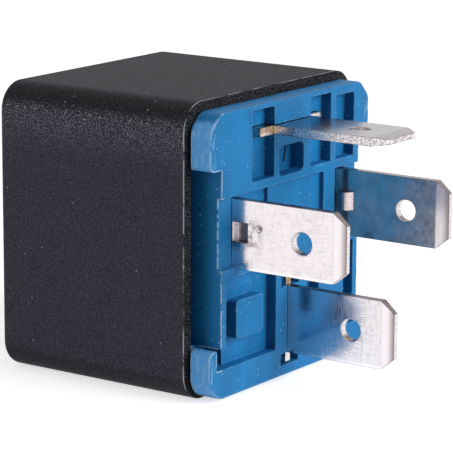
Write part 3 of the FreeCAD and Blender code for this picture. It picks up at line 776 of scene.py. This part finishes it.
class RELAY_OT_magnet(bpy.types.Operator):
    """Finish the coil and the magnet's iron."""

    bl_idname = "relay.magnet"
    bl_label = "Coil and magnet"

    def execute(self, context):
        settings = context.scene.relay_finish
        iron = plated_iron(settings)
        for node in ("coil_core", "yoke", "armature"):
            give(node, iron)
        give("coil_bobbin", natural_plastic())
        give("coil_tape", amber_film())
        give("coil_winding", wound_wire(settings, "enamelled_winding", 0.14, 0.0))
        lead = wound_wire(settings, "enamelled_lead", 0.6, 0.4)
        for node in ("coil_lead_85", "coil_lead_86"):
            give(node, lead)
        return {"FINISHED"}


class RELAY_OT_contacts(bpy.types.Operator):
    """Finish the contacts, their blade and stop, the spring and the braid."""

    bl_idname = "relay.contacts"
    bl_label = "Contacts and spring"

    def execute(self, context):
        settings = context.scene.relay_finish
        give("contact_blade", copper_strip(settings))
        give("contact_blade_rivets", brass("rivet_brass"))
        silver = silver_alloy()
        for node in ("moving_contact", "fixed_contact"):
            give(node, silver)
        give("open_stop", brass("stop_brass"))
        give("return_spring", spring_steel())
        give("contact_braid", wound_wire(settings, "copper_braid", 0.35, 0.8))
        return {"FINISHED"}


# The stage

def add_camera(stage):
    """Set the camera at the picture's angle."""
    azimuth = stage.camera_azimuth
    elevation = stage.camera_elevation
    towards = Vector((
        math.sin(azimuth) * math.cos(elevation),
        -math.cos(azimuth) * math.cos(elevation),
        math.sin(elevation),
    ))
    right = Vector((math.cos(azimuth), math.sin(azimuth), 0.0))
    up = towards.cross(right)
    roll = stage.camera_roll
    turned_right = right * math.cos(roll) + up * math.sin(roll)
    turned_up = towards.cross(turned_right)
    camera = bpy.data.objects.new("camera", bpy.data.cameras.new("camera"))
    bpy.context.scene.collection.objects.link(camera)
    camera.data.lens = stage.camera_lens
    camera.data.clip_start = 0.01
    camera.data.clip_end = 20.0
    place = Matrix((turned_right, turned_up, towards)).transposed().to_4x4()
    place.translation = Vector(stage.camera_target) + towards * stage.camera_distance
    camera.matrix_world = place
    bpy.context.scene.camera = camera


def add_lamp(name, aim, offset, size, power):
    """Add a square lamp at an offset from its aim, turned to it."""
    lamp = bpy.data.objects.new(name, bpy.data.lights.new(name, "AREA"))
    lamp.data.shape = "SQUARE"
    lamp.data.size = size
    lamp.data.energy = power
    lamp.location = Vector(aim) + Vector(offset)
    lamp.rotation_euler = (-Vector(offset)).to_track_quat("-Z", "Y").to_euler()
    bpy.context.scene.collection.objects.link(lamp)


def seen_directly(tree):
    """Return a socket that is 1 for what the camera, a reflection or a clear piece shows."""
    path = tree.nodes.new("ShaderNodeLightPath")
    link = path.outputs["Is Camera Ray"]
    for name in ("Is Glossy Ray", "Is Transmission Ray"):
        either = tree.nodes.new("ShaderNodeMath")
        either.operation = "MAXIMUM"
        tree.links.new(link, either.inputs[0])
        tree.links.new(path.outputs[name], either.inputs[1])
        link = either.outputs[0]
    return link


def light_room(strength):
    """Light the room evenly, and show it white."""
    world = bpy.data.worlds.new("studio")
    world.use_nodes = True
    bpy.context.scene.world = world
    tree = world.node_tree
    background = tree.nodes["Background"]
    level = tree.nodes.new("ShaderNodeMapRange")
    tree.links.new(seen_directly(tree), level.inputs["Value"])
    level.inputs["To Min"].default_value = strength
    level.inputs["To Max"].default_value = 1.0
    tree.links.new(level.outputs[0], background.inputs["Strength"])
    background.inputs["Color"].default_value = (1.0, 1.0, 1.0, 1.0)


def pale_floor(glow):
    """Pale floor that keeps the relay's shadow and shows white round it."""
    finish = Finish("pale_floor")
    colour = finish.mix(finish.noise(0.02), (0.93, 0.93, 0.93), (0.96, 0.96, 0.96))
    seen = Value(finish, seen_directly(finish.tree))
    return finish.surface(
        Base_Color=colour,
        Roughness=0.9,
        Emission_Color=finish.mix(seen, (0.0, 0.0, 0.0), (1.0, 1.0, 1.0)),
        Emission_Strength=glow,
    )


class RELAY_OT_stage(bpy.types.Operator):
    """Set up the camera, the floor and the lamps."""

    bl_idname = "relay.stage"
    bl_label = "Camera, floor and lamps"

    def execute(self, context):
        stage = context.scene.relay_stage
        context.scene.view_settings.view_transform = "Standard"
        add_camera(stage)
        light_room(stage.room_light)
        aim = stage.camera_target
        add_lamp("key_lamp", aim, stage.key_place, stage.lamp_size, stage.key_power)
        add_lamp("side_lamp", aim, stage.side_place, stage.lamp_size, stage.side_power)
        bpy.ops.object.select_all(action="DESELECT")
        place = (0.0, 0.0, -FLOOR_DROP)
        bpy.ops.mesh.primitive_plane_add(size=stage.floor_size, location=place)
        floor = context.object
        floor.name = "floor"
        floor.data.materials.append(pale_floor(stage.floor_glow))
        return {"FINISHED"}


class RELAY_PT_panel(bpy.types.Panel):
    """The relay's pieces and settings."""

    bl_idname = "RELAY_PT_panel"
    bl_label = "Relay"
    bl_space_type = "VIEW_3D"
    bl_region_type = "UI"
    bl_category = "Relay"

    def draw(self, context):
        layout = self.layout
        for operator in OPERATORS:
            layout.operator(operator.bl_idname)
        for settings in (context.scene.relay_finish, context.scene.relay_stage):
            for name in settings.__annotations__:
                layout.prop(settings, name)


OPERATORS = (
    RELAY_OT_housing,
    RELAY_OT_terminals,
    RELAY_OT_magnet,
    RELAY_OT_contacts,
    RELAY_OT_stage,
)
CLASSES = (RelayFinishSettings, RelayStageSettings) + OPERATORS + (RELAY_PT_panel,)


def register():
    """Register the classes and the settings."""
    for item in CLASSES:
        bpy.utils.register_class(item)
    bpy.types.Scene.relay_finish = bpy.props.PointerProperty(type=RelayFinishSettings)
    bpy.types.Scene.relay_stage = bpy.props.PointerProperty(type=RelayStageSettings)


def unregister():
    """Remove the settings and the classes."""
    del bpy.types.Scene.relay_stage
    del bpy.types.Scene.relay_finish
    for item in reversed(CLASSES):
        bpy.utils.unregister_class(item)


def main():
    """Finish the relay."""
    register()
    bpy.ops.relay.housing()
    bpy.ops.relay.terminals()
    bpy.ops.relay.magnet()
    bpy.ops.relay.contacts()
    bpy.ops.relay.stage()


if __name__ == "__main__":
    main()
